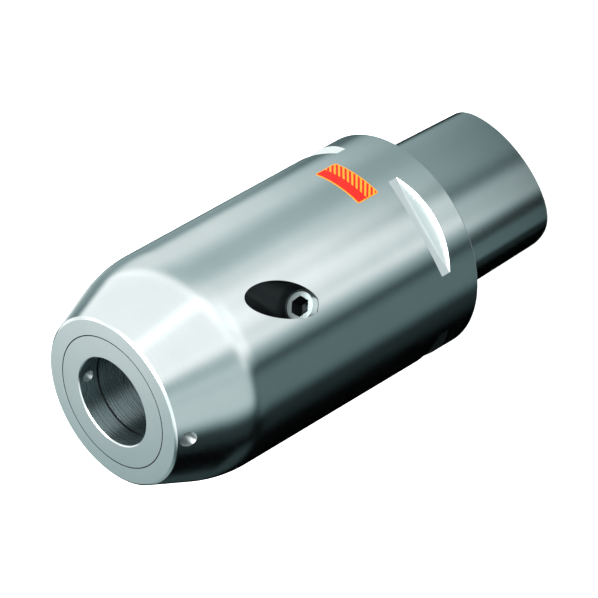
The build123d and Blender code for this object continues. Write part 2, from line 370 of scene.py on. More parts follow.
def cut(piece: bpy.types.Object, cutters: Iterable[bpy.types.Object]) -> None:
    """Cuts shapes out of a piece, one after another, and removes them.

    Args:
        piece: Object whose mesh is cut.
        cutters: Closed objects, each of one shell or of shells that don't touch.
    """
    for cutter in cutters:
        modifier = piece.modifiers.new("cut", "BOOLEAN")
        modifier.operation = "DIFFERENCE"
        modifier.solver = "EXACT"
        modifier.object = cutter
        applied(piece)
        used = cutter.data
        bpy.data.objects.remove(cutter)
        bpy.data.meshes.remove(used)


def is_smooth(edge: bmesh.types.BMEdge) -> bool:
    """Tells whether an edge lies inside a curved surface or a rounded corner.

    Args:
        edge: Edge of a finished piece.

    Returns:
        False for a real edge, where two surfaces meet.
    """
    if len(edge.link_faces) != 2:
        return False
    widths = []
    for face in edge.link_faces:
        widths.append(face.calc_area() / max(side.calc_length() for side in face.edges))
    limit = ROUNDED_LIMIT if min(widths) < ROUNDED_WIDTH * MM else CURVED_LIMIT
    return edge.calc_face_angle(0) < limit


def shade(piece: bpy.types.Object) -> None:
    """Smooths a piece's shading, apart from its real edges, and keeps its flat faces flat."""
    shape = bmesh.new()
    shape.from_mesh(piece.data)
    bmesh.ops.remove_doubles(shape, verts=shape.verts, dist=MERGE_DISTANCE)
    bmesh.ops.dissolve_degenerate(shape, edges=shape.edges, dist=MERGE_DISTANCE)
    for face in shape.faces:
        face.smooth = True
    for edge in shape.edges:
        edge.smooth = is_smooth(edge)
    shape.to_mesh(piece.data)
    shape.free()
    modifier = piece.modifiers.new("weighted", "WEIGHTED_NORMAL")
    modifier.mode = "FACE_AREA"
    modifier.weight = 60  # 50 is neutral, more favours the larger faces
    modifier.keep_sharp = True
    applied(piece)


def true_normals(piece: bpy.types.Object) -> None:
    """Sets exact normals on the surfaces turned about Z, which the cuts leave uneven.

    The shank's lobes are no turned surface, and no cut meets them.
    """
    mesh = piece.data
    widest_angle = math.radians(1.2)
    steepest = 0.2
    skin = LAYOUT.skin_radius - 0.004
    shank_from = 12.5
    normals = [Vector(corner.vector) for corner in mesh.corner_normals]
    for face in mesh.polygons:
        flat = face.normal.xy
        away = face.center.xy.length / MM
        corners = [mesh.vertices[mesh.loops[index].vertex_index].co for index in face.loop_indices]
        spokes = [corner.xy for corner in corners]
        on_axis = min(spoke.length for spoke in spokes) < 1e-6
        on_shank = face.center.z < 0 and away > shank_from
        if on_shank or on_axis or flat.length < steepest:
            continue
        side = 1 if flat.dot(spokes[0]) > 0 else -1
        if away <= skin and any(flat.angle(side * spoke) > widest_angle for spoke in spokes):
            continue
        for index, spoke in zip(face.loop_indices, spokes):
            normal = normals[index]
            level = side * spoke.normalized() * normal.xy.length
            normals[index] = Vector((level.x, level.y, normal.z)).normalized()
    mesh.normals_split_custom_set(normals)


def finish_piece(
    piece: bpy.types.Object,
    material: bpy.types.Material,
    body: Body,
    nodes: Sequence[str] = (),
    areas: Sequence[Area] = (),
) -> None:
    """Shades a piece, dresses it and puts it on its body.

    Args:
        piece: The finished object.
        material: Its material.
        body: Body that it rides on.
        nodes: CAD nodes that it stands for.
        areas: Materials of parts of its surface, each with a test of a face's centre.
    """
    shade(piece)
    piece.data.materials.clear()
    piece.data.materials.append(material)
    for index, (finish, is_inside) in enumerate(areas, start=1):
        piece.data.materials.append(finish)
        for face in piece.data.polygons:
            if is_inside(face.center):
                face.material_index = index
    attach(piece, body.value)
    if nodes:
        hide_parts(*nodes)
    log.info("%s: %d faces on %s", piece.name, len(piece.data.polygons), body.value)


# Materials


def add_node(tree: bpy.types.NodeTree, kind: str, settings: dict, links: dict) -> bpy.types.Node:
    """Adds one shader node.

    Args:
        tree: Tree that gets the node.
        kind: Node type.
        settings: Properties by name, and plain socket values by "in:" and the socket's name or number.
        links: Output sockets that feed the node, by input name or number.

    Returns:
        The node.
    """
    node = tree.nodes.new(kind)
    for name, value in settings.items():
        if name.startswith("in:"):
            key = name[3:]
            node.inputs[int(key) if key.isdigit() else key].default_value = value
        else:
            setattr(node, name, value)
    for name, output in links.items():
        tree.links.new(output, node.inputs[name])
    return node


def maths(tree: bpy.types.NodeTree, operation: str, *values: Union[float, Socket]) -> Socket:
    """Adds a maths node.

    Args:
        tree: Tree that gets the node.
        operation: What it works out.
        values: What it works on, each a number or an output.

    Returns:
        Its output.
    """
    settings = {"operation": operation}
    links = {}
    for index, value in enumerate(values):
        if isinstance(value, Socket):
            links[index] = value
        else:
            settings[f"in:{index}"] = value
    return add_node(tree, "ShaderNodeMath", settings, links).outputs[0]


def ramp(
    tree: bpy.types.NodeTree,
    value: Socket,
    source: tuple[float, float],
    result: tuple[float, float] = (0, 1),
    kind: str = "LINEAR",
) -> Socket:
    """Adds a map range node.

    Args:
        tree: Tree that gets the node.
        value: Output that it maps.
        source: The value's two ends.
        result: What they become.
        kind: How it runs from one to the other.

    Returns:
        Its output.
    """
    settings = {
        "interpolation_type": kind,
        "in:From Min": source[0],
        "in:From Max": source[1],
        "in:To Min": result[0],
        "in:To Max": result[1],
    }
    return add_node(tree, "ShaderNodeMapRange", settings, {"Value": value}).outputs[0]


def mixed(tree: bpy.types.NodeTree, factor: Socket, first: str, second: str) -> Socket:
    """Adds a node that goes from one sRGB hex colour to another as the factor goes from 0 to 1."""
    settings = {"data_type": "RGBA", "in:6": linear(first), "in:7": linear(second)}
    return add_node(tree, "ShaderNodeMix", settings, {"Factor": factor}).outputs[2]


def noise(
    tree: bpy.types.NodeTree,
    coords: Socket,
    size: float,
    detail: float = 2.0,
    roughness: float = 0.5,
) -> Socket:
    """Adds noise in space.

    Args:
        tree: Tree that gets the node.
        coords: Coordinates that it follows.
        size: Size of its spots in millimetres.
        detail: Number of finer layers.
        roughness: How strong each is beside the one before.

    Returns:
        Its value.
    """
    settings = {"in:Scale": 1 / (size * MM), "in:Detail": detail, "in:Roughness": roughness}
    return add_node(tree, "ShaderNodeTexNoise", settings, {"Vector": coords}).outputs["Fac"]


def bump(tree: bpy.types.NodeTree, height: Socket, depth: float) -> Socket:
    """Adds a bump whose height goes over a depth given in millimetres."""
    settings = {"in:Strength": 1.0, "in:Distance": depth * MM}
    return add_node(tree, "ShaderNodeBump", settings, {"Height": height}).outputs[0]


def object_coords(tree: bpy.types.NodeTree) -> Socket:
    """Adds a texture coordinate node and returns its Object output."""
    return add_node(tree, "ShaderNodeTexCoord", {}, {}).outputs["Object"]


def feed(tree: bpy.types.NodeTree, shader: bpy.types.Node, outputs: dict[str, Socket]) -> None:
    """Links outputs to a shader's inputs by their names."""
    for name, output in outputs.items():
        tree.links.new(output, shader.inputs[name])


def new_material(name: str) -> tuple[bpy.types.Material, bpy.types.NodeTree, bpy.types.Node]:
    """Makes a material with one principled shader.

    Args:
        name: Name of the material.

    Returns:
        The material, its node tree and its shader.
    """
    material = bpy.data.materials.new(name)
    material.use_nodes = True
    tree = material.node_tree
    tree.nodes.clear()
    shader = add_node(tree, "ShaderNodeBsdfPrincipled", {}, {})
    add_node(tree, "ShaderNodeOutputMaterial", {}, {"Surface": shader.outputs[0]})
    return material, tree, shader


@dataclass(frozen=True)
class MachinedMetal:
    """A bare metal with the fine lines that a turning or grinding tool leaves.

    The lines run round an axis, so they follow from a surface's distance to that axis
    and its height along it. They are drawn coarser than the real ones, which are under a
    tenth of a millimetre apart and would not show. A streak above 0 draws highlights out
    along the axis, as the rings on the wall of a bore do.
    """

    name: str
    colour: str
    stain: str
    roughness: float
    line_spacing: float = 0.22
    line_depth: float = 0.0006
    lay: Lay = Lay.TURNED
    streak: float = 0.0
    stain_size: float = 9.0
    polished: float = 0.85
    worn: float = 1.2

    def material(self, axes: dict[Lay, Matrix]) -> bpy.types.Material:
        """Builds the material.

        Args:
            axes: Frame of each lay, its Z axis being the one that the lines run round.

        Returns:
            The material.
        """
        material, tree, shader = new_material(self.name)
        place = axes[self.lay].inverted()
        coords = object_coords(tree)
        turned = {"in:Location": place.to_translation(), "in:Rotation": place.to_euler()}
        local = add_node(tree, "ShaderNodeMapping", turned, {"Vector": coords}).outputs[0]
        x, y, z = add_node(tree, "ShaderNodeSeparateXYZ", {}, {"Vector": local}).outputs
        flat = add_node(tree, "ShaderNodeCombineXYZ", {}, {"X": x, "Y": y}).outputs[0]
        away = add_node(tree, "ShaderNodeVectorMath", {"operation": "LENGTH"}, {0: flat}).outputs["Value"]
        along = maths(tree, "ADD", z, away)
        spacing = {"noise_dimensions": "1D", "in:Scale": 1 / (self.line_spacing * MM), "in:Detail": 3.0}
        lines = add_node(tree, "ShaderNodeTexNoise", spacing, {"W": along}).outputs["Fac"]
        cloud = noise(tree, coords, self.stain_size, detail=4.0, roughness=0.55)
        spread = (self.roughness * self.polished, self.roughness * self.worn)
        axis = axes[self.lay].col[2]
        run = add_node(tree, "ShaderNodeCombineXYZ", {"in:X": axis.x, "in:Y": axis.y, "in:Z": axis.z}, {})
        shader.inputs["Anisotropic"].default_value = self.streak
        shader.inputs["Metallic"].default_value = 1.0
        feed(tree, shader, {
            "Base Color": mixed(tree, cloud, self.colour, self.stain),
            "Roughness": ramp(tree, lines, (0.3, 0.7), spread),
            "Normal": bump(tree, lines, self.line_depth),
            "Tangent": run.outputs[0],
        })
        return material


@dataclass(frozen=True)
class Moulded:
    """Rubber or plastic with the soft unevenness of a moulded or machined polymer."""

    name: str
    colour: str
    shadow: str
    roughness: float
    grain: float
    depth: float

    def material(self) -> bpy.types.Material:
        """Builds the material."""
        material, tree, shader = new_material(self.name)
        grain = noise(tree, object_coords(tree), self.grain, detail=3.0)
        feed(tree, shader, {
            "Base Color": mixed(tree, grain, self.colour, self.shadow),
            "Roughness": ramp(tree, grain, (0, 1), (self.roughness * 0.9, self.roughness * 1.1)),
            "Normal": bump(tree, grain, self.depth),
        })
        return material


# Sizes that several pieces share


def radial(azimuth: float, height: float) -> Matrix:
    """Frame whose Z axis runs straight out from the tool axis.

    Args:
        azimuth: Its direction in radians.
        height: Its height in millimetres.

    Returns:
        The frame, in metres.
    """
    turn = Matrix.Rotation(azimuth, 4, "Z") @ Matrix.Rotation(math.pi / 2, 4, "Y")
    return Matrix.Translation((0, 0, height * MM)) @ turn


@dataclass(frozen=True)
class Layout:
    """Driving sizes of the chuck, in millimetres, with the places that follow from them."""

    body_radius: float = 25.0
    gauge_length: float = 83.5
    tool_radius: float = 10.0
    sleeve_wall: float = 2.0
    collar_radius: float = 15.0
    collar_length: float = 9.0
    joint_chamfer: float = 0.08
    braze_gap: float = 0.02
    screw_azimuth: float = -45.0
    screw_tilt: float = 39.5
    screw_entry_depth: float = 31.9
    screw_offset: float = 16.62
    clamping_radius: float = 3.95
    clamping_depth: float = 7.5
    clamping_length: float = 8.0
    ball_diameter: float = 4.0
    cup_radius: float = 1.8
    piston_radius: float = 3.27
    piston_length: float = 6.0
    spigot_radius: float = 1.5
    port_height: float = 26.52
    sleeve_end: float = 21.72
    stop_bottom: float = 10.02
    stop_length: float = 10.0
    seating_gap: float = 0.02
    cross_hole_height: float = 80.95
    filler_azimuth: float = 135.0
    filler_height: float = 44.5
    stop_ring_height: float = 2.6

    @property
    def clamping_end(self) -> float:
        """Depth of the clamping screw's inner end."""
        return self.clamping_depth + self.clamping_length

    @property
    def stop_ring_middle(self) -> float:
        """Height of the middle of the stop screw's ring."""
        return self.stop_bottom + self.stop_ring_height

    @property
    def slanted_bore(self) -> Matrix:
        """Frame whose Z axis runs into the slanted bore from the body's surface."""
        side = Vector((1, 0, 0))
        side.rotate(Matrix.Rotation(math.radians(self.screw_azimuth), 3, "Z"))
        run = Vector((side.y, -side.x, 0))
        tilt = math.radians(self.screw_tilt)
        inward = run * math.sin(tilt) - Vector((0, 0, math.cos(tilt)))
        depth = math.sqrt(self.body_radius ** 2 - self.screw_offset ** 2)
        entry = side * self.screw_offset - run * depth
        entry.z = self.gauge_length - self.screw_entry_depth
        turn = Matrix((side, inward.cross(side), inward)).transposed()
        return Matrix.Translation(entry * MM) @ turn.to_4x4()

    @property
    def filling_port(self) -> Matrix:
        """Frame whose Z axis runs out from the tool axis through the filling port."""
        return radial(math.radians(self.filler_azimuth), self.filler_height)

    @property
    def cross_hole(self) -> Matrix:
        """Frame whose Z axis runs through both sides of the nose."""
        return radial(math.radians(self.screw_azimuth), self.cross_hole_height)

    @property
    def skin_radius(self) -> float:
        """Radius of the drawn cylinder, a hair inside the CAD's many-sided one."""
        return self.body_radius - 0.005

    def in_cross_hole(self, point: Vector) -> bool:
        """Tells whether a face's centre lies on the wall of the cross hole."""
        around = 1.8
        local = self.cross_hole.inverted() @ point
        inside_bore = point.xy.length <= (self.tool_radius + 0.01) * MM
        return local.xy.length < around * MM and not inside_bore

    def at_joint(self, point: Vector) -> bool:
        """Tells whether a face's centre lies in the fine joint on the nose face."""
        depth, reach = 0.4, 0.17
        off_joint = abs(point.xy.length / MM - self.collar_radius - self.braze_gap / 2)
        return point.z / MM > self.gauge_length - depth and off_joint < reach

    @property
    def lays(self) -> dict[Lay, Matrix]:
        """Frame of each lay of machining lines."""
        return {
            Lay.TURNED: Matrix.Identity(4),
            Lay.SLANTED: self.slanted_bore,
            Lay.ACROSS: self.filling_port,
            Lay.DRILLED: self.cross_hole,
        }


LAYOUT = Layout()


# Pieces


@dataclass
class ChuckBody:
    """The one-piece steel body: nose cone, cylinder, grooves, flange face and polygon shank."""

    segments: int = 360
    bore_segments: int = 128
    nose_face_radius: float = 19.0
    nose_cone_length: float = 15.2
    nose_blend_radius: float = 28.4
    nose_blend_steps: int = 18
    nose_chamfer: float = 0.4
    edge_chamfer: float = 0.5
    edge_break: float = 0.1
    groove_count: int = 4
    groove_height: float = 9.3
    groove_floor: float = 22.2
    groove_floor_width: float = 2.4
    groove_flank_angle: float = 30.0
    shank_radius: float = 17.5
    shank_lobe_height: float = 1.12
    shank_length: float = 30.0
    shank_taper: float = 20.0
    shank_end_chamfer: float = 0.6
    lobe_azimuth: float = -45.0
    drawbar_bore: float = 10.5
    drawbar_chamfer: float = 1.0
    drawbar_lip: float = 7.0
    drawbar_groove: float = 12.0
    drawbar_groove_end: float = 16.0
    drawbolt_bore: float = 7.25
    drawbolt_pitch: float = 1.5
    drawbolt_thread_depth: float = 0.75
    drawbolt_low: float = -8.0
    drawbolt_top: float = 5.0
    coolant_bore: float = 3.0
    stop_bore: float = 8.0
    stop_clearance: float = 0.3
    screw_mouth: float = 4.15
    screw_mouth_end: float = 8.25
    screw_wall: float = 4.0
    screw_wall_start: float = 8.4
    screw_wall_end: float = 20.25
    piston_bore: float = 3.3
    piston_bore_end: float = 33.8
    passage_radius: float = 1.0
    passage_start: float = 11.0
    oil_port_end: float = 16.7
    oil_port_aim: Point = (10.3348, -13.1694)
    filler_bore: float = 3.0
    filler_floor: float = 17.17
    filler_passage_end: float = 18.0
    cross_hole_radius: float = 1.75

    def outside(self) -> list[Point]:
        """Outer profile from the joint on the nose face down to the flange face."""
        top = LAYOUT.gauge_length
        skin = LAYOUT.skin_radius
        slope = (skin - self.nose_face_radius) / self.nose_cone_length
        cone_angle = math.degrees(math.atan(slope))
        reach = self.nose_blend_radius * math.tan(math.radians(cone_angle) / 2)
        corner = top - self.nose_cone_length
        centre = (skin - self.nose_blend_radius, corner - reach)
        chamfer = self.nose_chamfer
        seat = LAYOUT.collar_radius + LAYOUT.braze_gap
        ends = [
            (seat, top - LAYOUT.joint_chamfer),
            (seat + LAYOUT.joint_chamfer, top),
            (self.nose_face_radius - chamfer, top),
            (self.nose_face_radius + chamfer * slope, top - chamfer),
        ]
        blend = arc(centre, self.nose_blend_radius, cone_angle, 0, self.nose_blend_steps)
        flange = [(skin, self.edge_chamfer), (skin - self.edge_chamfer, 0)]
        return ends + blend + flange

    def shank(self) -> list[Point]:
        """Mean profile of the shank, before its lobes are formed."""
        end = self.shank_radius - self.shank_length / self.shank_taper / 2
        chamfer = self.shank_end_chamfer
        return [
            (self.shank_radius, 0),
            (end + chamfer / self.shank_taper / 2, chamfer - self.shank_length),
            (end - chamfer, -self.shank_length),
        ]

    def inside(self) -> list[Point]:
        """Inner profile from the shank's end up to the sleeve's seat."""
        bottom = -self.shank_length
        flank = self.drawbar_groove - self.drawbar_bore
        stop_floor = LAYOUT.stop_bottom - self.stop_clearance
        seat = LAYOUT.tool_radius + LAYOUT.sleeve_wall + LAYOUT.braze_gap
        collar_floor = LAYOUT.gauge_length - LAYOUT.collar_length
        below = [
            (self.drawbar_bore + self.drawbar_chamfer, bottom),
            (self.drawbar_bore, bottom + self.drawbar_chamfer),
            (self.drawbar_bore, bottom + self.drawbar_lip),
            (self.drawbar_groove, bottom + self.drawbar_lip + flank),
            (self.drawbar_groove, bottom + self.drawbar_groove_end),
            (self.drawbar_bore, bottom + self.drawbar_groove_end),
            (self.drawbar_bore, self.drawbolt_low),
            (self.drawbolt_bore + self.drawbolt_thread_depth, self.drawbolt_low),
        ]
        above = [
            (self.coolant_bore, self.drawbolt_top),
            (self.coolant_bore, stop_floor),
            (self.stop_bore, stop_floor),
            (self.stop_bore, LAYOUT.sleeve_end),
            (seat, LAYOUT.sleeve_end),
            (seat, collar_floor),
            (LAYOUT.collar_radius + LAYOUT.braze_gap, collar_floor),
        ]
        thread_start = self.drawbolt_low + self.drawbolt_thread_depth
        heights = stacked(thread_start, self.drawbolt_top, self.drawbolt_pitch / 8)
        return below + [(self.drawbolt_bore, height) for height in heights] + above

    def form_lobes(self, shape: bmesh.types.BMesh) -> None:
        """Moves the round shank's rings onto the three-lobed polygon section."""
        turn = math.radians(self.lobe_azimuth - 60)
        lobe = self.shank_lobe_height
        for vert in shape.verts:
            mean = math.hypot(vert.co.x, vert.co.y) / MM
            on_shank = self.drawbar_groove + 1 <= mean <= self.shank_radius + 0.5
            if vert.co.z > MERGE_DISTANCE or not on_shank:
                continue
            angle = math.atan2(vert.co.y, vert.co.x) - turn
            x = mean * math.cos(angle) + lobe * (math.cos(4 * angle) - 2 * math.cos(2 * angle))
            y = mean * math.sin(angle) + lobe * (math.sin(4 * angle) + 2 * math.sin(2 * angle))
            vert.co.x = (x * math.cos(turn) - y * math.sin(turn)) * MM
            vert.co.y = (x * math.sin(turn) + y * math.cos(turn)) * MM

    def groove_cutters(self) -> bpy.types.Object:
        """Straight bars with sloping flanks, one for each gripper groove."""
        shape = bmesh.new()
        reach = 6 * MM
        sliver = 1e-6
        widen = reach * math.tan(math.radians(self.groove_flank_angle))
        across = 2.4 * LAYOUT.body_radius * MM
        for index in range(self.groove_count):
            turn = Matrix.Rotation(index * math.tau / self.groove_count, 4, "Z")
            place = turn @ Matrix.Translation((self.groove_floor * MM, 0, self.groove_height * MM))
            size = Matrix.Diagonal((sliver, across, self.groove_floor_width * MM, 1))
            bar = bmesh.ops.create_cube(shape, size=1, matrix=place @ size)
            facing = turn.to_3x3() @ Vector((1, 0, 0))
            for vert in bar["verts"]:
                if vert.co.dot(facing) > self.groove_floor * MM:
                    side = 1 if vert.co.z > self.groove_height * MM else -1
                    vert.co += facing * reach + Vector((0, 0, side * widen))
        bmesh.ops.recalc_face_normals(shape, faces=shape.faces)
        return as_object(shape, "groove_cutters")

    def bore_cutters(self) -> list[bpy.types.Object]:
        """Shapes of the slanted bore, oil port, filling port and cross hole."""
        outer = 40.0
        slanted = [
            (0, -LAYOUT.body_radius),
            (self.screw_mouth, -LAYOUT.body_radius),
            (self.screw_mouth, self.screw_mouth_end),
            (self.screw_wall, self.screw_wall_start),
            (self.screw_wall, self.screw_wall_end),
            (self.piston_bore, self.screw_wall_end),
            (self.piston_bore, self.piston_bore_end),
            (0, self.piston_bore_end),
        ]
        port_azimuth = math.atan2(self.oil_port_aim[1], self.oil_port_aim[0])
        oil_port = radial(port_azimuth, LAYOUT.port_height)
        holes = [
            (self.passage_radius, self.passage_start, self.oil_port_end, oil_port),
            (self.filler_bore, self.filler_floor, outer, LAYOUT.filling_port),
            (self.passage_radius, self.passage_start, self.filler_passage_end, LAYOUT.filling_port),
            (self.cross_hole_radius, -outer, outer, LAYOUT.cross_hole),
        ]
        bore = lathe(slanted, self.bore_segments, closed=False)
        cutters = [as_object(bore, "slanted_cutter", LAYOUT.slanted_bore)]
        for radius, low, high, place in holes:
            cutters.append(as_object(cylinder(radius, low, high), "hole_cutter", place))
        return cutters

    def in_recess(self, point: Vector) -> bool:
        """Tells whether a face's centre lies in the slanted bore, whose faces get painted shade, or in the
        joint on the nose face.
        """
        if LAYOUT.at_joint(point):
            return True
        around = self.screw_mouth + 0.1
        start = -8.0
        below_skin = LAYOUT.body_radius - 0.06
        local = LAYOUT.slanted_bore.inverted() @ point
        near_axis = local.xy.length < around * MM and local.z > start * MM
        return near_axis and point.xy.length < below_skin * MM

    def on_cross_hole(self, point: Vector) -> bool:
        """Tells whether a face's centre lies on the cross hole's wall, under the cone's surface."""
        slope = (LAYOUT.skin_radius - self.nose_face_radius) / self.nose_cone_length
        cone_radius = self.nose_face_radius * MM + slope * (LAYOUT.gauge_length * MM - point.z)
        return LAYOUT.in_cross_hole(point) and point.xy.length < cone_radius - 0.03 * MM

    def build(
        self,
        material: bpy.types.Material,
        drilled: bpy.types.Material,
        recess: bpy.types.Material,
    ) -> bpy.types.Object:
        """Builds and dresses the body.

        Args:
            material: Finish of the turned and ground surfaces.
            drilled: Finish of the cross hole.
            recess: Almost black steel, painted shade in the slanted bore, and the dark joint on the nose
                face.

        Returns:
            The body.
        """
        profile = self.outside() + self.shank() + self.inside()
        shape = lathe(profile, self.segments, edge_break=self.edge_break)
        self.form_lobes(shape)
        cut_thread(
            shape,
            radius=self.drawbolt_bore,
            low=self.drawbolt_low,
            high=self.drawbolt_top,
            pitch=self.drawbolt_pitch,
            depth=-self.drawbolt_thread_depth,
        )
        piece = as_object(shape, "steel_body")
        cut(piece, [self.groove_cutters(), *self.bore_cutters()])
        areas = [(drilled, self.on_cross_hole), (recess, self.in_recess)]
        finish_piece(piece, material, Body.HOUSING, ["chuck_body"], areas)
        true_normals(piece)
        return piece


@dataclass
class Sleeve:
    """The thin expansion sleeve whose collar ends flush with the nose face."""

    segments: int = 256
    mouth_chamfer: float = 0.25
    chamber_cut: float = 0.4
    chamber_length: float = 15.0
    feed_width: float = 3.0
    front_land: float = 3.5
    middle_land: float = 4.0
    wiper_depth: float = 5.2
    wiper_width: float = 0.5
    wiper_cut: float = 0.3
    edge_break: float = 0.08
    flute_count: int = 4
    flute_width: float = 1.2
    cross_hole_radius: float = 1.35
    cross_hole_reach: float = 17.0

    def in_recess(self, point: Vector) -> bool:
        """Tells whether a face's centre lies in the narrow groove, whose faces get painted shade, or in the
        joint on the nose face.
        """
        if LAYOUT.at_joint(point):
            return True
        off_middle = abs(point.z / MM - (LAYOUT.gauge_length - self.wiper_depth))
        depth = point.xy.length / MM - LAYOUT.tool_radius
        return off_middle < self.wiper_width and 0.01 < depth < 1

    def on_bore(self, point: Vector) -> bool:
        """Tells whether a face's centre lies on the wall of the tool bore."""
        radius = point.xy.length / MM
        return radius < LAYOUT.tool_radius + 0.01 and point.z / MM < LAYOUT.gauge_length - self.mouth_chamfer

    def build(
        self,
        material: bpy.types.Material,
        honed: bpy.types.Material,
        drilled: bpy.types.Material,
        recess: bpy.types.Material,
    ) -> bpy.types.Object:
        """Builds and dresses the sleeve.

        Args:
            material: Finish of the ground surfaces.
            honed: Finish of the tool bore, darker than the ground steel as painted shade.
            drilled: Finish of the cross hole.
            recess: Almost black steel, painted shade in the narrow groove, and the dark joint on the nose
                face.

        Returns:
            The sleeve.
        """
        top = LAYOUT.gauge_length
        inner = LAYOUT.tool_radius
        outer = inner + LAYOUT.sleeve_wall
        floor = outer - self.chamber_cut
        collar_floor = top - LAYOUT.collar_length
        wiper = top - self.wiper_depth
        half_wiper = self.wiper_width / 2
        front_top = collar_floor - self.front_land
        front_bottom = front_top - self.chamber_length
        rear_top = front_bottom - self.middle_land
        rear_bottom = rear_top - self.chamber_length
        feed_top = LAYOUT.port_height + self.feed_width / 2
        feed_bottom = LAYOUT.port_height - self.feed_width / 2
        outside = [(outer, LAYOUT.sleeve_end)]
        for low, high in ((feed_bottom, feed_top), (rear_bottom, rear_top), (front_bottom, front_top)):
            outside += [(outer, low), (floor, low), (floor, high), (outer, high)]
        profile = outside + [
            (outer, collar_floor),
            (LAYOUT.collar_radius, collar_floor),
            (LAYOUT.collar_radius, top - LAYOUT.joint_chamfer),
            (LAYOUT.collar_radius - LAYOUT.joint_chamfer, top),
            (inner + self.mouth_chamfer, top),
            (inner, top - self.mouth_chamfer),
            (inner, wiper + half_wiper),
            (inner + self.wiper_cut, wiper + half_wiper),
            (inner + self.wiper_cut, wiper - half_wiper),
            (inner, wiper - half_wiper),
            (inner, LAYOUT.sleeve_end),
        ]
        piece = as_object(lathe(profile, self.segments, edge_break=self.edge_break), "steel_sleeve")
        flutes = bmesh.new()
        height = front_bottom - LAYOUT.port_height
        for index in range(self.flute_count):
            turn = Matrix.Rotation(math.tau * index / self.flute_count, 4, "Z")
            middle = Vector((outer * MM, 0, (LAYOUT.port_height + height / 2) * MM))
            size = Matrix.Diagonal((2 * self.chamber_cut * MM, self.flute_width * MM, height * MM, 1))
            bmesh.ops.create_cube(flutes, size=1, matrix=turn @ Matrix.Translation(middle) @ size)
        cross_hole = cylinder(self.cross_hole_radius, -self.cross_hole_reach, self.cross_hole_reach)
        cross = as_object(cross_hole, "hole_cutter", LAYOUT.cross_hole)
        cut(piece, [as_object(flutes, "flute_cutters"), cross])
        areas = [(honed, self.on_bore), (drilled, LAYOUT.in_cross_hole), (recess, self.in_recess)]
        finish_piece(piece, material, Body.HOUSING, ["expansion_sleeve"], areas)
        true_normals(piece)
        return piece


@dataclass
class SetScrew:
    """A headless screw with a thread, a hexagon socket and chamfered ends."""

    name: str
    node: str
    slot: str
    body: Body
    place: Matrix
    radius: float
    low: float
    high: float
    chamfer: float
    socket: float
    socket_depth: float
    socket_up: bool
    pitch: float = 1.0
    thread_depth: float = 0.5
    drill_share: float = 0.12
    cup_radius: float = 0.0
    bore_radius: float = 0.0
    ring_low: float = 0.0
    ring_high: float = 0.0
    ring_depth: float = 0.0
    segments: int = 96

    def in_socket(self, point: Vector) -> bool:
        """Tells whether a face's centre lies on the socket's walls or floor, which get painted shade."""
        local = self.place.inverted() @ point
        depth = self.high * MM - local.z if self.socket_up else local.z - self.low * MM
        # Down past the drilled point, and out past the hexagon's corners
        within_depth = 0.3 * MM < depth < 1.25 * self.socket_depth * MM
        return within_depth and local.xy.length < 0.6 * self.socket * MM

    def build(self, material: bpy.types.Material, recess: bpy.types.Material) -> bpy.types.Object:
        """Builds and dresses the screw.

        Args:
            material: Finish of the ends and the thread.
            recess: Almost black steel in the socket, as painted shade.

        Returns:
            The screw.
        """
        low_wall = self.low + self.chamfer
        high_wall = self.high - self.chamfer
        spans = [(low_wall, high_wall)]
        if self.ring_depth:
            spans = [(low_wall, self.ring_low), (self.ring_high, high_wall)]
        wall = []
        for low, high in spans:
            if wall:
                floor = self.radius - self.ring_depth
                wall += [(floor, self.ring_low), (floor, self.ring_high)]
            wall += [(self.radius, height) for height in stacked(low, high, self.pitch / 10)]
        start = [(self.bore_radius, self.low), (self.radius - self.chamfer, self.low)]
        end = [(self.radius - self.chamfer, self.high), (self.bore_radius, self.high)]
        if self.cup_radius:
            end[1:] = [(self.cup_radius, self.high), (0, self.high - self.cup_radius)]
        shape = lathe(start + wall + end, self.segments, closed=self.bore_radius > 0)
        for low, high in spans:
            cut_thread(shape, self.radius, low, high, self.pitch, self.thread_depth)
        piece = as_object(shape, self.name, self.place)
        flip = Matrix.Identity(4) if self.socket_up else Matrix.Rotation(math.pi, 4, "X")
        mouth = self.high if self.socket_up else -self.low
        socket = hexagon(self.socket, mouth - self.socket_depth, mouth + 1, self.drill_share * self.socket)
        cut(piece, [as_object(socket, "socket_cutter", self.place @ flip)])
        finish_piece(piece, material, self.body, [self.node], [(recess, self.in_socket)])
        return piece


@dataclass
class TurnedPiece:
    """A small piece turned on its own axis."""

    name: str
    node: str
    slot: str
    body: Body
    place: Matrix
    profile: list[Point]
    closed: bool
    edge_break: float = 0.08
    segments: int = 96

    def build(self, material: bpy.types.Material) -> bpy.types.Object:
        """Builds and dresses the piece."""
        shape = lathe(self.profile, self.segments, self.closed, self.edge_break)
        piece = as_object(shape, self.name, self.place)
        finish_piece(piece, material, self.body, [self.node])
        return piece


@dataclass
class SteelBall:
    """A hardened, polished ball."""

    name: str
    node: str
    body: Body
    place: Matrix
    station: float
    diameter: float

    def build(self, material: bpy.types.Material) -> bpy.types.Object:
        """Builds and dresses the ball."""
        shape = bmesh.new()
        bmesh.ops.create_icosphere(shape, subdivisions=5, radius=self.diameter / 2 * MM)
        place = self.place @ Matrix.Translation((0, 0, self.station * MM))
        piece = as_object(shape, self.name, place)
        finish_piece(piece, material, self.body, [self.node])
        return piece


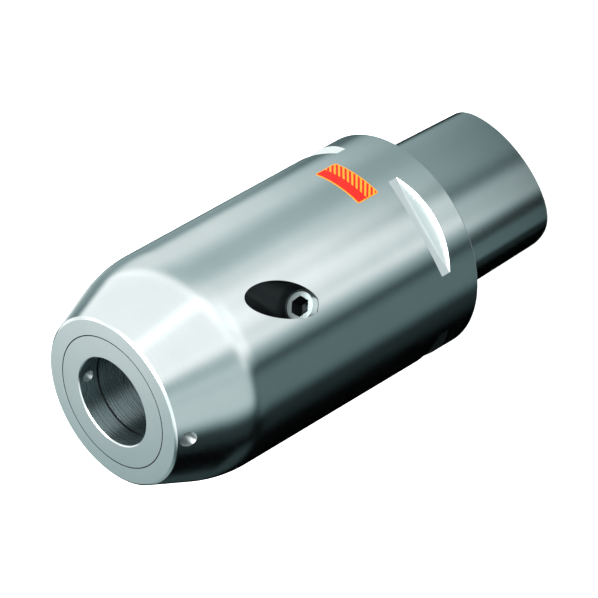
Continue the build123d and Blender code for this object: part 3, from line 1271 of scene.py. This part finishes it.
@dataclass
class LabelFilm:
    """A plain coloured film stuck to the cylinder beside a gripper groove."""

    low: float = 14.5
    high: float = 20.5
    first_azimuth: float = 25.0
    last_azimuth: float = 55.0
    thickness: float = 0.05
    corner: float = 0.5
    border: float = 0.25
    stripe_pitch: float = 1.3
    band_rise: float = 0.3
    gap: float = 0.01
    grain: float = 0.5
    roughness: Point = (0.4, 0.52)
    specular: float = 0.12
    red: str = "#AE0C01"
    amber: str = "#AC7016"

    @property
    def width(self) -> float:
        """Length round the body."""
        return math.radians(self.last_azimuth - self.first_azimuth) * LAYOUT.body_radius

    @property
    def height(self) -> float:
        """Length along the body."""
        return self.high - self.low

    @property
    def middle(self) -> float:
        """Azimuth of its middle in radians."""
        return math.radians(self.first_azimuth + self.last_azimuth) / 2

    @property
    def centre(self) -> float:
        """Height of its middle."""
        return (self.low + self.high) / 2

    def build(self) -> bpy.types.Object:
        """Builds and dresses the film."""
        shape = bmesh.new()
        size = Matrix.Diagonal((self.width * MM, self.height * MM, 1, 1))
        bmesh.ops.create_grid(shape, x_segments=48, y_segments=24, size=0.5, matrix=size)
        for vert in shape.verts:
            past_side = abs(vert.co.x) / MM - (self.width / 2 - self.corner)
            past_end = abs(vert.co.y) / MM - (self.height / 2 - self.corner)
            if past_side > 0 and past_end > 0:
                pull = 1 - max(past_side, past_end) / math.hypot(past_side, past_end)
                vert.co.x -= math.copysign(past_side * pull * MM, vert.co.x)
                vert.co.y -= math.copysign(past_end * pull * MM, vert.co.y)
        skin = bmesh.ops.extrude_face_region(shape, geom=list(shape.faces))
        bmesh.ops.translate(shape, verts=verts_in(skin), vec=(0, 0, self.thickness * MM))
        for vert in shape.verts:
            angle = self.middle + vert.co.x / MM / LAYOUT.body_radius
            radius = (LAYOUT.body_radius + self.gap) * MM + vert.co.z
            vert.co = (radius * math.cos(angle), radius * math.sin(angle), self.centre * MM + vert.co.y)
        bmesh.ops.recalc_face_normals(shape, faces=shape.faces)
        piece = as_object(shape, "label_film")
        finish_piece(piece, self.material(), Body.HOUSING)
        return piece

    def material(self) -> bpy.types.Material:
        """Screen-printed vinyl: a red field with an amber border and a band of slanting stripes.

        The ink lies flat on the cast film, so the colours are full and the gloss is low.

        Returns:
            The material.
        """
        material, tree, shader = new_material("screen_printed_vinyl")
        coords = object_coords(tree)
        x, y, z = add_node(tree, "ShaderNodeSeparateXYZ", {}, {"Vector": coords}).outputs
        turned = maths(tree, "SUBTRACT", maths(tree, "ARCTAN2", y, x), self.middle)
        along = maths(tree, "MULTIPLY", turned, LAYOUT.body_radius * MM)
        rise = maths(tree, "SUBTRACT", z, self.centre * MM)
        edges = []
        for place, size in ((along, self.width), (rise, self.height)):
            inner = (size / 2 - self.border) * MM
            edges.append(maths(tree, "GREATER_THAN", maths(tree, "ABSOLUTE", place), inner))
        count = maths(tree, "DIVIDE", maths(tree, "ADD", along, z), self.stripe_pitch * MM)
        stripe = maths(tree, "LESS_THAN", maths(tree, "FRACT", count), 0.5)
        lower_half = maths(tree, "LESS_THAN", z, (self.centre + self.band_rise) * MM)
        band = maths(tree, "MULTIPLY", stripe, lower_half)
        marks = maths(tree, "MAXIMUM", maths(tree, "MAXIMUM", *edges), band)
        shader.inputs["Specular IOR Level"].default_value = self.specular
        feed(tree, shader, {
            "Base Color": mixed(tree, marks, self.red, self.amber),
            "Roughness": ramp(tree, noise(tree, coords, self.grain), (0, 1), self.roughness),
        })
        return material


# Studio


@dataclass(frozen=True)
class LightCard:
    """One soft-edged panel of the light tent.

    Azimuths are in degrees, heights in millimetres.
    """

    azimuth: float
    half_width: float
    edge: float
    low: float
    high: float
    fade: float
    strength: float


@dataclass
class Studio:
    """Floor, light tent, lights and camera."""

    tent_radius: float = 400.0
    tent_low: float = -520.0
    tent_high: float = 700.0
    tent_segments: int = 180
    tent_colour: str = "#F3FAFA"
    dim_tent_colour: str = "#C2F2F6"
    ceiling_strength: float = 1.3
    floor_radius: float = 3000.0
    floor_segments: int = 96
    floor_grain: float = 30.0
    floor_roughness: float = 0.9
    floor_colour: str = "#FFFFFF"
    floor_shade: str = "#FAFBFB"
    sun_spread: float = 60.0
    sun_strength: float = 3.1
    lamp_size: float = 420.0
    lamp_power: float = 4.3
    lamp_place: tuple[float, float, float] = (182.0, 128.0, 370.0)
    lamp_tilt: float = 37.0
    lamp_azimuth: float = 35.0
    surround_colour: str = "#E8EEEE"
    surround_strength: float = 0.6
    camera_azimuth: float = 0.556
    camera_elevation: float = 35.306
    camera_roll: float = -119.861
    camera_distance: float = 916.19
    focal_length: float = 259.636
    target: tuple[float, float, float] = (0.007, -0.746, 29.799)

    def cards(self) -> list[LightCard]:
        """The tent's panels: low ones for the cylinder, high ones for the nose, and fill all round."""
        # Azimuth, half width, edge, low, high, fade and strength of each
        rows = (
            (112, 22, 30, -262, -40, 90, 0.47),
            (156, 12, 20, -300, -40, 90, 0.25),
            (147, 9, 14, -258, -40, 36, 0.17),
            (80, 55, 40, -370, -40, 100, 0.42),
            (76, 14, 20, -250, -40, 60, 0.16),
            (36, 22, 30, -262, -40, 90, 0.46),
            (14, 20, 26, -268, -40, 90, 0.46),
            (-3, 19, 22, -370, -60, 60, 0.65),
            (-22, 12, 16, -320, -60, 60, 0.36),
            (-62, 20, 22, -370, -120, 60, 0.19),
            (84, 48, 18, -50, 900, 60, 1.1),
            (150, 14, 22, 80, 900, 60, 0.9),
            (0, 26, 24, -150, -100, 40, 0.3),
            (16, 24, 22, -60, 260, 60, 1.1),
            (-18, 14, 18, -90, 260, 60, 0.54),
            (-51, 20, 26, -90, 260, 60, 0.7),
            (-84, 12, 24, -90, 260, 60, 0.035),
            (-142, 32, 24, -120, -40, 50, 0.05),
            (-94, 14, 28, -370, -160, 80, 0.025),
            (170, 12, 16, -150, 20, 60, 0.8),
            (180, 60, 40, 90, 900, 60, 0.43),
            (150, 32, 14, 325, 900, 50, 0.52),
            (-12, 90, 40, 400, 900, 60, 1.3),
        )
        return [LightCard(*row) for row in rows]

    def emission(self, tree: bpy.types.NodeTree) -> Socket:
        """Adds up the panels' brightness from the azimuth and height on the tent.

        Args:
            tree: The tent material's tree.

        Returns:
            The socket with the sum.
        """
        x, y, z = add_node(tree, "ShaderNodeSeparateXYZ", {}, {"Vector": object_coords(tree)}).outputs
        azimuth = maths(tree, "ARCTAN2", y, x)
        total = None
        for card in self.cards():
            turned = maths(tree, "SUBTRACT", azimuth, math.radians(card.azimuth))
            away = maths(tree, "ABSOLUTE", maths(tree, "WRAP", turned, math.pi, -math.pi))
            outer = math.radians(card.half_width + card.edge / 2)
            inner = math.radians(card.half_width - card.edge / 2)
            across = ramp(tree, away, (outer, inner), kind="SMOOTHERSTEP")
            ends = []
            for height, fade in ((card.low, card.fade / 2), (card.high, -card.fade / 2)):
                source = ((height - fade) * MM, (height + fade) * MM)
                ends.append(ramp(tree, z, source, kind="SMOOTHSTEP"))
            panel = maths(tree, "MULTIPLY", across, maths(tree, "MULTIPLY", *ends))
            lit = maths(tree, "MULTIPLY", panel, card.strength)
            total = lit if total is None else maths(tree, "ADD", total, lit)
        return total

    def glow(self, name: str, strength: float) -> tuple[bpy.types.Material, bpy.types.Node]:
        """A material that only glows.

        Args:
            name: Name of the material.
            strength: Its brightness.

        Returns:
            The material and its emission shader.
        """
        material = bpy.data.materials.new(name)
        material.use_nodes = True
        tree = material.node_tree
        tree.nodes.clear()
        settings = {"in:Color": linear(self.tent_colour), "in:Strength": strength}
        shader = add_node(tree, "ShaderNodeEmission", settings, {})
        add_node(tree, "ShaderNodeOutputMaterial", {}, {"Surface": shader.outputs[0]})
        material.cycles.emission_sampling = "NONE"
        return material, shader

    def set_up(self, panel: bpy.types.Object, material: bpy.types.Material) -> None:
        """Dresses a glowing panel that the camera doesn't see and that casts no shadow."""
        panel.data.materials.append(material)
        panel.visible_camera = False
        panel.visible_shadow = False

    def build_tent(self) -> None:
        """A round light tent with a flat ceiling, which only reflections see."""
        wall = disc(self.tent_radius, self.tent_low, self.tent_segments, filled=False)
        rim = bmesh.ops.extrude_edge_only(wall, edges=list(wall.edges))
        bmesh.ops.translate(wall, verts=verts_in(rim), vec=(0, 0, (self.tent_high - self.tent_low) * MM))
        material, shader = self.glow("tent_light", 1.0)
        tree = material.node_tree
        brightness = self.emission(tree)
        hue = mixed(tree, brightness, self.dim_tent_colour, "#FFFFFF")
        feed(tree, shader, {"Color": hue, "Strength": brightness})
        self.set_up(as_object(wall, "light_tent"), material)
        lid = disc(self.tent_radius, self.tent_high, self.tent_segments)
        self.set_up(as_object(lid, "tent_ceiling"), self.glow("ceiling_light", self.ceiling_strength)[0])

    def build_floor(self) -> None:
        """A plain pale floor under the shank's end."""
        floor = as_object(disc(self.floor_radius, cad_low.z / MM, self.floor_segments), "studio_floor")
        # Heavy seamless paper, calendered. An even, matt, almost pure white.
        material, tree, shader = new_material("matt_seamless_paper")
        grain = noise(tree, object_coords(tree), self.floor_grain)
        feed(tree, shader, {"Base Color": mixed(tree, grain, self.floor_colour, self.floor_shade)})
        shader.inputs["Roughness"].default_value = self.floor_roughness
        floor.data.materials.append(material)
        floor.visible_glossy = False

    def build_lights(self) -> None:
        """Soft light from above for the floor, a lamp for the tool bore, and a pale surround."""
        sun = bpy.data.lights.new("overhead_light", "SUN")
        sun.angle = math.radians(self.sun_spread)
        sun.energy = self.sun_strength
        sun.use_shadow = False
        light = bpy.data.objects.new("overhead_light", sun)
        light.visible_glossy = False
        bpy.context.scene.collection.objects.link(light)
        lamp = bpy.data.lights.new("front_light", "AREA")
        lamp.shape = "DISK"
        lamp.size = self.lamp_size * MM
        lamp.energy = self.lamp_power
        front = bpy.data.objects.new("front_light", lamp)
        front.location = Vector(self.lamp_place) * MM
        front.rotation_euler = (0, math.radians(self.lamp_tilt), math.radians(self.lamp_azimuth))
        bpy.context.scene.collection.objects.link(front)
        world = bpy.data.worlds.new("studio_world")
        world.use_nodes = True
        background = world.node_tree.nodes["Background"]
        background.inputs["Color"].default_value = linear(self.surround_colour)
        background.inputs["Strength"].default_value = self.surround_strength
        bpy.context.scene.world = world

    def build_camera(self) -> None:
        """A long lens from the photograph's side, rolled so that the nose points down left."""
        azimuth = math.radians(self.camera_azimuth)
        elevation = math.radians(self.camera_elevation)
        back = Vector((
            math.cos(azimuth) * math.cos(elevation),
            math.sin(azimuth) * math.cos(elevation),
            math.sin(elevation),
        ))
        data = bpy.data.cameras.new("camera")
        data.sensor_width = 36.0
        data.lens = self.focal_length
        camera = bpy.data.objects.new("camera", data)
        bpy.context.scene.collection.objects.link(camera)
        camera.location = Vector(self.target) * MM + back * self.camera_distance * MM
        level = (-back).to_track_quat("-Z", "Y")
        roll = Matrix.Rotation(math.radians(self.camera_roll), 3, "Z").to_quaternion()
        camera.rotation_mode = "QUATERNION"
        camera.rotation_quaternion = level @ roll
        bpy.context.scene.camera = camera

    def build(self) -> None:
        """Builds the whole studio."""
        self.build_camera()
        self.build_tent()
        self.build_floor()
        self.build_lights()
        bpy.context.scene.view_settings.view_transform = "Standard"


# Metals, each named for what it is


# Case-hardening tool steel, hardened, turned and ground all over. Bright and faintly cool,
# with highlights that run clean along the cylinder and blur softly at their sides.
BODY_STEEL = MachinedMetal("ground_tool_steel", "#E3EBEB", "#D6E0E0", 0.16)

# The sleeve's spring steel, ground on its collar. It takes the same sheen as the body, so
# that only the fine joint tells the two apart.
SLEEVE_STEEL = MachinedMetal("ground_sleeve_steel", "#E0E8E8", "#D2DCDC", 0.18, line_depth=0.0004)

# The tool bore's wall, bored and honed. Its rings draw the light from the mouth out into
# soft bands along the bore, with darker ones between.
# Its colour is darker than the body's steel, as painted shade inside the bore.
SHADED_HONED_BORE = MachinedMetal("honed_bore_steel_painted_shade", "#98AAAC", "#8A9C9F", 0.27, line_depth=0.0001, streak=0.95)

# Bare steel as a twist drill leaves it. It is duller, with one bright streak down the hole.
DRILLED_STEEL = MachinedMetal(
    "drilled_steel", "#DCE4E4", "#CFD9D9", 0.36, line_depth=0.001, lay=Lay.DRILLED, streak=0.85
)

# Alloy steel screw, turned and tumbled. Its end face is an even, satin light grey.
SCREW_STEEL = MachinedMetal("tumbled_screw_steel", "#BAC8C8", "#A9B8B8", 0.36, lay=Lay.SLANTED)

# The same steel in the filler screw, but faced off, so that it shines a little more.
FILLER_STEEL = MachinedMetal("faced_screw_steel", "#D8DEDE", "#C4CCCC", 0.24, lay=Lay.ACROSS)

# Hardened piston, centreless ground. A smooth grey shine without visible rings.
PISTON_STEEL = MachinedMetal("ground_piston_steel", "#DADEDF", "#CCD2D3", 0.2, lay=Lay.SLANTED)

# Bearing steel, lapped. Mirror-like, with small sharp highlights.
BALL_STEEL = MachinedMetal("lapped_ball_steel", "#E2E5E6", "#D9DDDE", 0.07, line_depth=0.0001)

# Almost black steel: painted shade in the slanted bore, the screw sockets and the sleeve's narrow
# groove, and the dark line of the joint on the nose face. A dull grey glint runs along the bore.
RECESS_PAINTED_SHADE = MachinedMetal(
    "recess_painted_shade_steel", "#2B3031", "#1B1F20", 0.4, line_depth=0.001, lay=Lay.SLANTED, streak=0.9
)

# Steel blackened in a hot oxide bath after turning. Dark grey, oily and half matt.
STOP_STEEL = MachinedMetal("black_oxide_steel", "#6A6E70", "#4A4E50", 0.38, line_depth=0.001)

# Filled fluoropolymer, turned from bar. An opaque ivory with a waxy, broad sheen.
SUPPORT_PLASTIC = Moulded("turned_ivory_fluoropolymer", "#D9D3C2", "#C9C2AE", 0.45, 0.8, 0.002)

# Cast polyurethane, moulded. Deep green, with a soft, slightly uneven gloss.
SEAL_RUBBER = Moulded("cast_green_polyurethane", "#2E5A48", "#1F4436", 0.6, 0.5, 0.004)

# Nitrile rubber, moulded and deflashed. Black and matt, with a faint bloom.
RING_RUBBER = Moulded("moulded_nitrile_rubber", "#1B1C1D", "#101112", 0.65, 0.5, 0.004)


def screws(recess: bpy.types.Material) -> None:
    """Builds the clamping screw, filler screw and stop screw.

    Args:
        recess: Almost black steel in their sockets, as painted shade.
    """
    SetScrew(
        name="socket_set_screw",
        node="clamping_screw",
        slot="screw_steel",
        body=Body.CLAMPING_SCREW,
        place=LAYOUT.slanted_bore,
        radius=LAYOUT.clamping_radius,
        low=LAYOUT.clamping_depth,
        high=LAYOUT.clamping_end,
        chamfer=0.75,
        socket=4.0,
        socket_depth=4.0,
        socket_up=False,
        cup_radius=LAYOUT.cup_radius,
    ).build(SCREW_STEEL.material(LAYOUT.lays), recess)
    SetScrew(
        name="filler_plug",
        node="filler_screw",
        slot="screw_steel",
        body=Body.HOUSING,
        place=LAYOUT.filling_port,
        radius=2.95,
        low=20.4,
        high=24.4,
        chamfer=0.6,
        socket=3.0,
        socket_depth=2.2,
        socket_up=True,
    ).build(FILLER_STEEL.material(LAYOUT.lays), recess)
    SetScrew(
        name="length_stop_screw",
        node="stop_screw",
        slot="stop_steel",
        body=Body.STOP_SCREW,
        place=Matrix.Identity(4),
        radius=7.95,
        low=LAYOUT.stop_bottom,
        high=LAYOUT.stop_bottom + LAYOUT.stop_length,
        chamfer=1.0,
        socket=6.0,
        socket_depth=4.5,
        socket_up=True,
        bore_radius=2.0,
        ring_low=LAYOUT.stop_ring_middle - 0.7,
        ring_high=LAYOUT.stop_ring_middle + 0.7,
        ring_depth=1.3,
        segments=128,
    ).build(STOP_STEEL.material(LAYOUT.lays), recess)


@dataclass
class PistonTrain:
    """The ball, piston, support ring and seal in the slanted bore."""

    ring_length: float = 1.0
    seal_length: float = 2.0
    lip_depth: float = 0.9
    lip_reach: float = 0.25
    head_radius: float = 2.1
    head_length: float = 0.6

    def build(self) -> None:
        """Builds the four pieces, one behind the other from the screw's end."""
        gap = LAYOUT.seating_gap
        cup = LAYOUT.cup_radius
        spigot = LAYOUT.spigot_radius
        inner = spigot + gap
        outer = LAYOUT.piston_radius
        rise = LAYOUT.ball_diameter / 2 * math.sqrt(2) - cup + gap
        start = LAYOUT.clamping_end + 2 * rise
        shoulder = start + LAYOUT.piston_length
        seal_start = shoulder + self.ring_length
        seal_end = seal_start + self.seal_length
        head = seal_end + self.head_length
        middle = (spigot + outer) / 2
        place = LAYOUT.slanted_bore
        train = Body.PISTON_TRAIN
        piston_steel = PISTON_STEEL.material(LAYOUT.lays)
        station = LAYOUT.clamping_end + rise
        ball = SteelBall("thrust_ball", "pressure_ball", train, place, station, LAYOUT.ball_diameter)
        ball.build(BALL_STEEL.material(LAYOUT.lays))
        piston = [
            (0, start + cup),
            (cup, start),
            (outer, start),
            (outer, shoulder),
            (spigot, shoulder),
            (spigot, seal_end + gap),
            (self.head_radius, seal_end + gap),
            (self.head_radius, head),
            (0, head),
        ]
        ring = [(inner, shoulder), (outer, shoulder), (outer, seal_start), (inner, seal_start)]
        lips = [
            (inner, seal_start),
            (outer, seal_start),
            (outer, seal_end),
            (middle + self.lip_reach, seal_end),
            (middle, seal_end - self.lip_depth),
            (middle - self.lip_reach, seal_end),
            (inner, seal_end),
        ]
        for name, node, slot, profile, closed, material in (
            ("ground_piston", "clamping_piston", "piston_steel", piston, False, piston_steel),
            ("support_ring", "seal_support_ring", "support_plastic", ring, True, SUPPORT_PLASTIC.material()),
            ("cup_seal", "piston_seal", "seal_rubber", lips, True, SEAL_RUBBER.material()),
        ):
            TurnedPiece(name, node, slot, train, place, profile, closed).build(material)


def small_pieces() -> None:
    """Builds the filler ball and the stop screw's ring."""
    ball = SteelBall(
        name="filler_port_ball",
        node="filler_ball",
        body=Body.HOUSING,
        place=LAYOUT.filling_port,
        station=18.63,
        diameter=3.5,
    )
    ball.build(BALL_STEEL.material(LAYOUT.lays))
    inner, outer, half_height = 6.67, 7.97, 0.65
    low = LAYOUT.stop_ring_middle - half_height
    high = LAYOUT.stop_ring_middle + half_height
    TurnedPiece(
        name="stop_ring_rubber",
        node="stop_screw_ring",
        slot="ring_rubber",
        body=Body.STOP_RING,
        place=Matrix.Identity(4),
        profile=[(inner, low), (outer, low), (outer, high), (inner, high)],
        closed=True,
        edge_break=0.2,
        segments=128,
    ).build(RING_RUBBER.material())


def main() -> None:
    """Builds every piece and the studio."""
    logging.basicConfig(level=logging.INFO, format="%(name)s %(message)s")
    # Almost black steel: painted shade in the recesses, and the dark joint line on the nose face
    recess = RECESS_PAINTED_SHADE.material(LAYOUT.lays)
    drilled = DRILLED_STEEL.material(LAYOUT.lays)
    ChuckBody().build(BODY_STEEL.material(LAYOUT.lays), drilled, recess)
    Sleeve().build(SLEEVE_STEEL.material(LAYOUT.lays), SHADED_HONED_BORE.material(LAYOUT.lays), drilled, recess)
    screws(recess)
    PistonTrain().build()
    small_pieces()
    LabelFilm().build()
    Studio().build()


if __name__ == "__main__":
    main()
